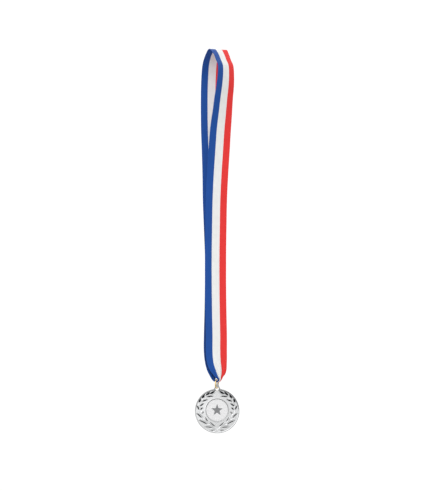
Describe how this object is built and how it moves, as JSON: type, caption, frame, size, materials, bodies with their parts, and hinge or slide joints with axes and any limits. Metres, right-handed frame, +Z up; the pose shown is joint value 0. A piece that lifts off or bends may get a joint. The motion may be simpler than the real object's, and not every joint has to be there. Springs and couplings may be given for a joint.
{
  "type": "award medal on neck ribbon",
  "caption": "Round silver laurel-wreath medal with a star on its centre insert, hung by a jump ring from a tri-colour neck ribbon loop.",
  "frame": {"origin": "highest point of the ribbon's neck loop, where a hook, peg or neck holds it", "axes": "+Z up along the hanging ribbon, +X to the right of the medal's face, -Y the way the face looks"},
  "size_m": [0.05, 0.0345, 0.4338],
  "materials": {
    "ribbon_weave": "ribbed polyester weave in lengthwise blue, white and red stripes",
    "seam_thread": "twisted white sewing thread",
    "ring_brass": "bright gold-coloured plating",
    "medal_silver": "bright silver plating over a cast zinc alloy blank",
    "insert_silver": "fine matt silver",
    "adhesive": "double-sided foam pad"
  },
  "bodies": {
    "ribbon_top": {"ribbon_upper": "ribbon_weave"},
    "ribbon_bottom": {"ribbon_lower": "ribbon_weave", "seam_thread": "seam_thread"},
    "ring": {"jump_ring": "ring_brass"},
    "medal": {"medal_disc": "medal_silver", "centre_insert": "insert_silver", "insert_adhesive": "adhesive"}
  },
  "joints": [
    {"name": "ribbon_bend", "type": "hinge", "parent": "ribbon_top", "child": "ribbon_bottom", "pos_m": [-0.0018, 0, -0.215], "axis": [1, 0, 0], "range_deg": [-40, 40]},
    {"name": "ring_swing", "type": "hinge", "parent": "ribbon_bottom", "child": "ring", "pos_m": [-0.0004, 0, -0.3755], "axis": [0.9397, -0.342, 0], "range_deg": [-40, 40]},
    {"name": "medal_swing", "type": "hinge", "parent": "ring", "child": "medal", "pos_m": [-0.0004, 0, -0.3831], "axis": [0, 1, 0], "range_deg": [-45, 45]}
  ]
}
